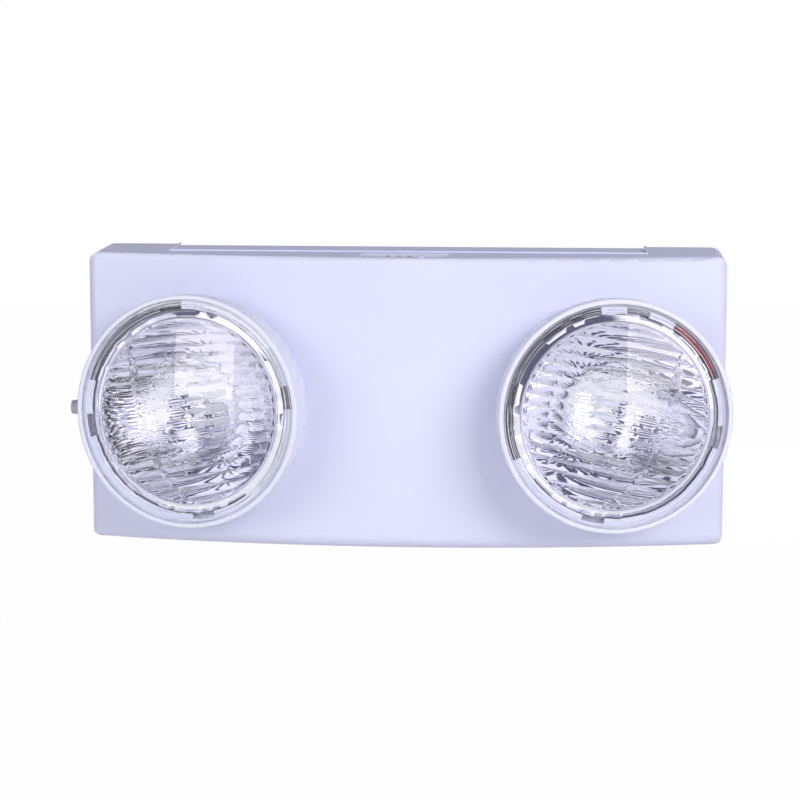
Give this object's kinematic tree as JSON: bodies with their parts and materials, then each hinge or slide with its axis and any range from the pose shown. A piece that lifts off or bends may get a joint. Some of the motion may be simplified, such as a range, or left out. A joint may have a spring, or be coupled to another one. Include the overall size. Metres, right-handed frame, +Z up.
{
  "type": "twin head emergency light",
  "caption": "Wall-mounted emergency light: a wide shallow housing with a curved front and round swivelling lamp heads, each with a ribbed clear lens over a bright reflector.",
  "frame": {"origin": "centre of the wall bracket's back face, midway between its two wall holes", "axes": "+X to the right seen from the front, +Y into the wall, +Z up"},
  "size_m": [0.2839, 0.0859, 0.1239],
  "materials": {
    "white_plastic": "satin",
    "grey_plastic": "satin",
    "dark_plastic": "satin",
    "clear_plastic": "clear",
    "glass_tube": "clear",
    "bright_reflector": "mirror bright",
    "steel": "zinc plated",
    "spring_steel": "dark",
    "aluminium": "cast",
    "cell_case": "plain",
    "sleeve_blue": "shrink film",
    "board_green": "solder mask",
    "connector_cream": "plain",
    "lead_red": "smooth",
    "lead_dark": "smooth",
    "lead_grey": "smooth",
    "board_white": "white solder mask",
    "lamp_green": "frosted",
    "lamp_amber": "frosted",
    "lamp_red": "frosted",
    "emitter_yellow": "phosphor"
  },
  "bodies": {
    "housing": {"front_cover": "white_plastic", "rear_housing": "white_plastic", "wall_bracket": "steel", "cover_screws": "steel", "lock_screw": "steel", "left_bridge": "steel", "right_bridge": "steel", "bridge_screws": "steel", "battery_cells": "cell_case", "battery_sleeve": "sleeve_blue", "battery_strap": "steel", "strap_screws": "steel", "battery_leads": "lead_red", "main_board": "board_green", "board_screws": "steel", "transformer": "dark_plastic", "capacitors": "dark_plastic", "fuse": "glass_tube", "terminal_block": "grey_plastic", "lead_connectors": "connector_cream", "left_feed_lead": "lead_dark", "right_feed_lead": "lead_dark", "indicator_board": "board_green", "indicator_screws": "steel", "indicator_lead": "lead_grey", "power_lamp": "lamp_green", "charge_lamp": "lamp_amber", "fault_lamp": "lamp_red", "test_switch": "dark_plastic", "cable_bushing": "grey_plastic", "bushing_nut": "grey_plastic", "button_spring": "spring_steel"},
    "left_swivel": {"left_pivot": "steel", "left_clamp_washer": "grey_plastic", "left_disc_spring": "spring_steel", "left_pivot_nut": "steel", "left_core_leads": "lead_dark"},
    "right_swivel": {"right_pivot": "steel", "right_clamp_washer": "grey_plastic", "right_disc_spring": "spring_steel", "right_pivot_nut": "steel", "right_core_leads": "lead_dark"},
    "left_head": {"left_shell": "white_plastic", "left_lens": "clear_plastic", "left_reflector": "bright_reflector", "left_lamp_board": "board_white", "left_emitter": "emitter_yellow", "left_heat_sink": "aluminium", "left_sink_screws": "steel", "left_head_leads": "lead_red"},
    "right_head": {"right_shell": "white_plastic", "right_lens": "clear_plastic", "right_reflector": "bright_reflector", "right_lamp_board": "board_white", "right_emitter": "emitter_yellow", "right_heat_sink": "aluminium", "right_sink_screws": "steel", "right_head_leads": "lead_red"},
    "test_button": {"test_button": "white_plastic", "switch_plunger": "grey_plastic"}
  },
  "joints": [
    {"name": "left_swivel_turn", "type": "hinge", "parent": "housing", "child": "left_swivel", "pos_m": [-0.088, -0.0694, -0.0014], "axis": [-0.1492, -0.9888, 0], "range_deg": [-56, 124]},
    {"name": "right_swivel_turn", "type": "hinge", "parent": "housing", "child": "right_swivel", "pos_m": [0.088, -0.0694, -0.0014], "axis": [0.1492, -0.9888, 0], "range_deg": [-22, 158]},
    {"name": "left_head_tilt", "type": "hinge", "parent": "left_swivel", "child": "left_head", "pos_m": [-0.088, -0.0694, -0.0014], "axis": [0.5529, -0.0834, 0.829], "range_deg": [-9.6, 20.4]},
    {"name": "right_head_tilt", "type": "hinge", "parent": "right_swivel", "child": "right_head", "pos_m": [0.088, -0.0694, -0.0014], "axis": [0.9168, 0.1383, 0.3746], "range_deg": [-13.4, 16.6]},
    {"name": "test_press", "type": "slide", "parent": "housing", "child": "test_button", "axis": [0, 0, -1], "range_m": [0, 0.0007], "stiffness_N_per_m": 600, "springref_m": -0.0002, "deforming": ["button_spring"]}
  ]
}
